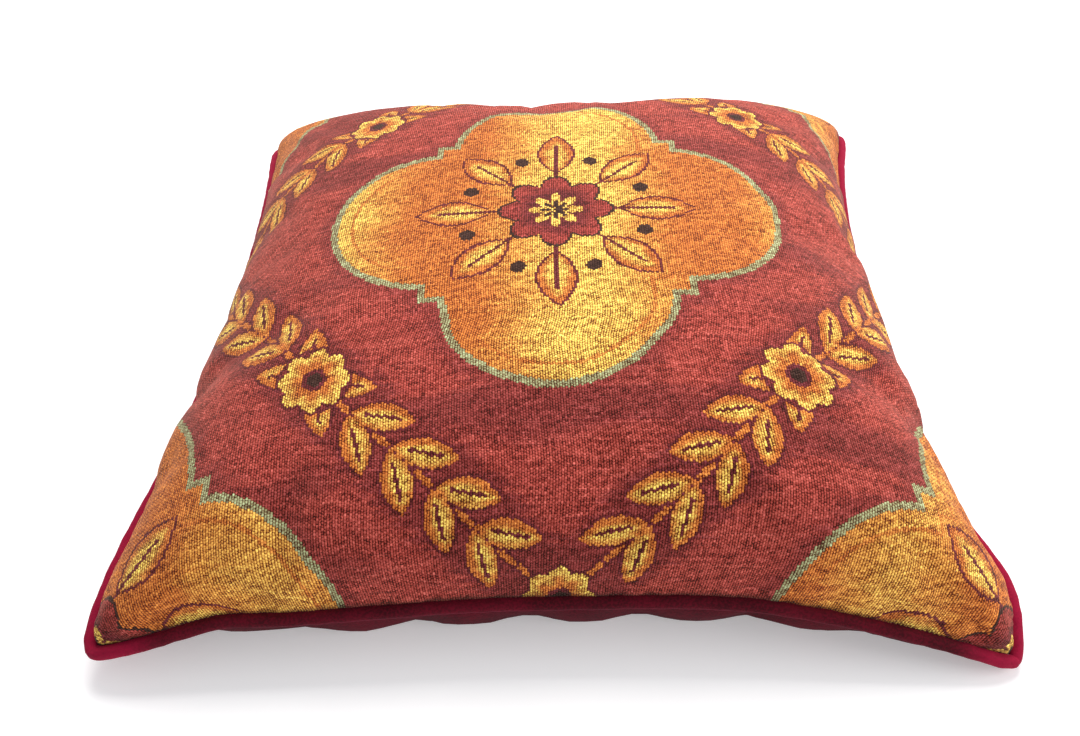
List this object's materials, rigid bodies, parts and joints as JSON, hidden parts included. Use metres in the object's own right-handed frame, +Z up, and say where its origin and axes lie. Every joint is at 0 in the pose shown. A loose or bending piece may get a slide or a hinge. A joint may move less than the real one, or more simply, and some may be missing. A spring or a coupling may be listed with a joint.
{
  "type": "filled cushion cover",
  "caption": "Square filled cushion cover with a tapestry-woven front panel, a velvet back and velvet piping round the seam, lying on its back.",
  "frame": {"origin": "on the surface it lies on, under the middle of the cushion's outline", "axes": "+Z up through the tapestry front, +X to the right and -Y to the side nearest the viewer"},
  "size_m": [0.4666, 0.4706, 0.1221],
  "materials": {
    "tapestry": "weft-faced wool tapestry in brick red, gold, ochre and sage, matt",
    "velvet": "crimson cotton velvet with a short pile, soft sheen",
    "piping_velvet": "crimson cotton velvet cut on the bias over a cord, soft sheen"
  },
  "bodies": {
    "root": {"tapestry_front": "tapestry", "velvet_back": "velvet", "piping": "piping_velvet"}
  },
  "joints": []
}
